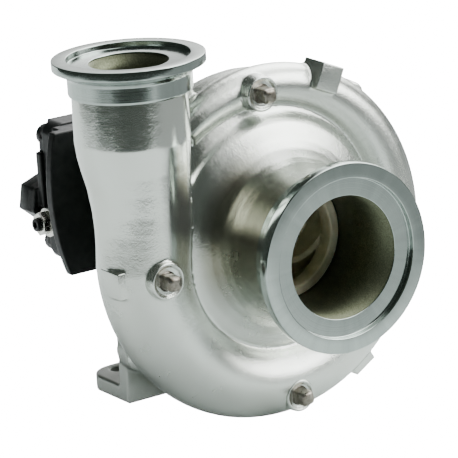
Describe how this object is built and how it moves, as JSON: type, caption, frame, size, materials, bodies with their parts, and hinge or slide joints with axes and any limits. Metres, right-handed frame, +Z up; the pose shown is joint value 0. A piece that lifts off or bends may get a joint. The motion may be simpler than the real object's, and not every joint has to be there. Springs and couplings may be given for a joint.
{
  "type": "centrifugal pump",
  "caption": "Close-coupled centrifugal pump with axial suction flange, spiral volute, upright discharge flange, slotted foot and a hydraulic gerotor motor.",
  "frame": {"origin": "middle between the two base slots, in the base plane", "axes": "+Y along the shaft from the suction flange to the motor, +X to the right seen from the suction side, +Z up through the discharge flange"},
  "size_m": [0.2368, 0.264, 0.2268],
  "materials": {
    "cast_stainless": "bright cast surface",
    "machined_stainless": "machined",
    "steel": "ground",
    "zinc_steel": "zinc plated",
    "black_motor": "semi-gloss black",
    "cream_polymer": "moulded",
    "black_rubber": "matt",
    "seal_ceramic": "lapped ceramic",
    "seal_carbon": "lapped carbon",
    "bush_bronze": "bronze"
  },
  "bodies": {
    "stator": {"volute_casing": "cast_stainless", "vent_plug": "machined_stainless", "gauge_plug": "machined_stainless", "drain_plug": "machined_stainless", "casing_bolts": "steel", "casing_washers": "steel", "casing_o_ring": "black_rubber", "adapter": "cast_stainless", "seal_seat_cup": "black_rubber", "seal_seat": "seal_ceramic", "bearing_outer_ring": "steel", "housing_snap_ring": "steel", "motor_body": "black_motor", "motor_shaft_seal": "black_rubber", "motor_front_bush": "bush_bronze", "gerotor_housing": "black_motor", "motor_end_cover": "black_motor", "motor_rear_bush": "bush_bronze", "motor_o_ring_front": "black_rubber", "motor_o_ring_rear": "black_rubber", "motor_cap_screws": "steel", "motor_mount_screws": "steel", "pressure_port_adapter": "black_motor", "tank_port_adapter": "black_motor", "bypass_washer": "zinc_steel", "bypass_jam_nut": "zinc_steel"},
    "rotor": {"shaft": "steel", "impeller_key": "steel", "rotor_key": "steel", "impeller": "cream_polymer", "impeller_nut": "steel", "impeller_washer": "steel", "seal_face_ring": "seal_carbon", "seal_bellows": "black_rubber", "seal_retainer": "steel", "seal_spring": "steel", "bearing_inner_ring": "steel", "slinger_ring": "black_rubber", "shaft_snap_ring": "steel", "gerotor_inner": "steel"},
    "ball_cage": {"bearing_balls": "steel", "bearing_cage": "bush_bronze"},
    "outer_gerotor": {"gerotor_outer": "steel"},
    "bypass_adjuster": {"bypass_screw": "black_motor"}
  },
  "joints": [
    {"name": "shaft_spin", "type": "hinge", "parent": "stator", "child": "rotor", "pos_m": [0, 0.037, 0.0895], "axis": [0, 1, 0], "continuous": true},
    {"name": "cage_spin", "type": "hinge", "parent": "stator", "child": "ball_cage", "pos_m": [0, 0.0375, 0.0895], "axis": [0, 1, 0], "continuous": true},
    {"name": "outer_gerotor_spin", "type": "hinge", "parent": "stator", "child": "outer_gerotor", "pos_m": [0.0026, 0.095, 0.0895], "axis": [0, 1, 0], "continuous": true},
    {"name": "bypass_turn", "type": "hinge", "parent": "stator", "child": "bypass_adjuster", "pos_m": [-0.054, 0.095, 0.076], "axis": [1, 0, 0], "range_deg": [0, 1080]}
  ],
  "couplings": [
    {"joint": "cage_spin", "follows": "shaft_spin", "ratio": 0.3977},
    {"joint": "outer_gerotor_spin", "follows": "shaft_spin", "ratio": 0.85714}
  ]
}
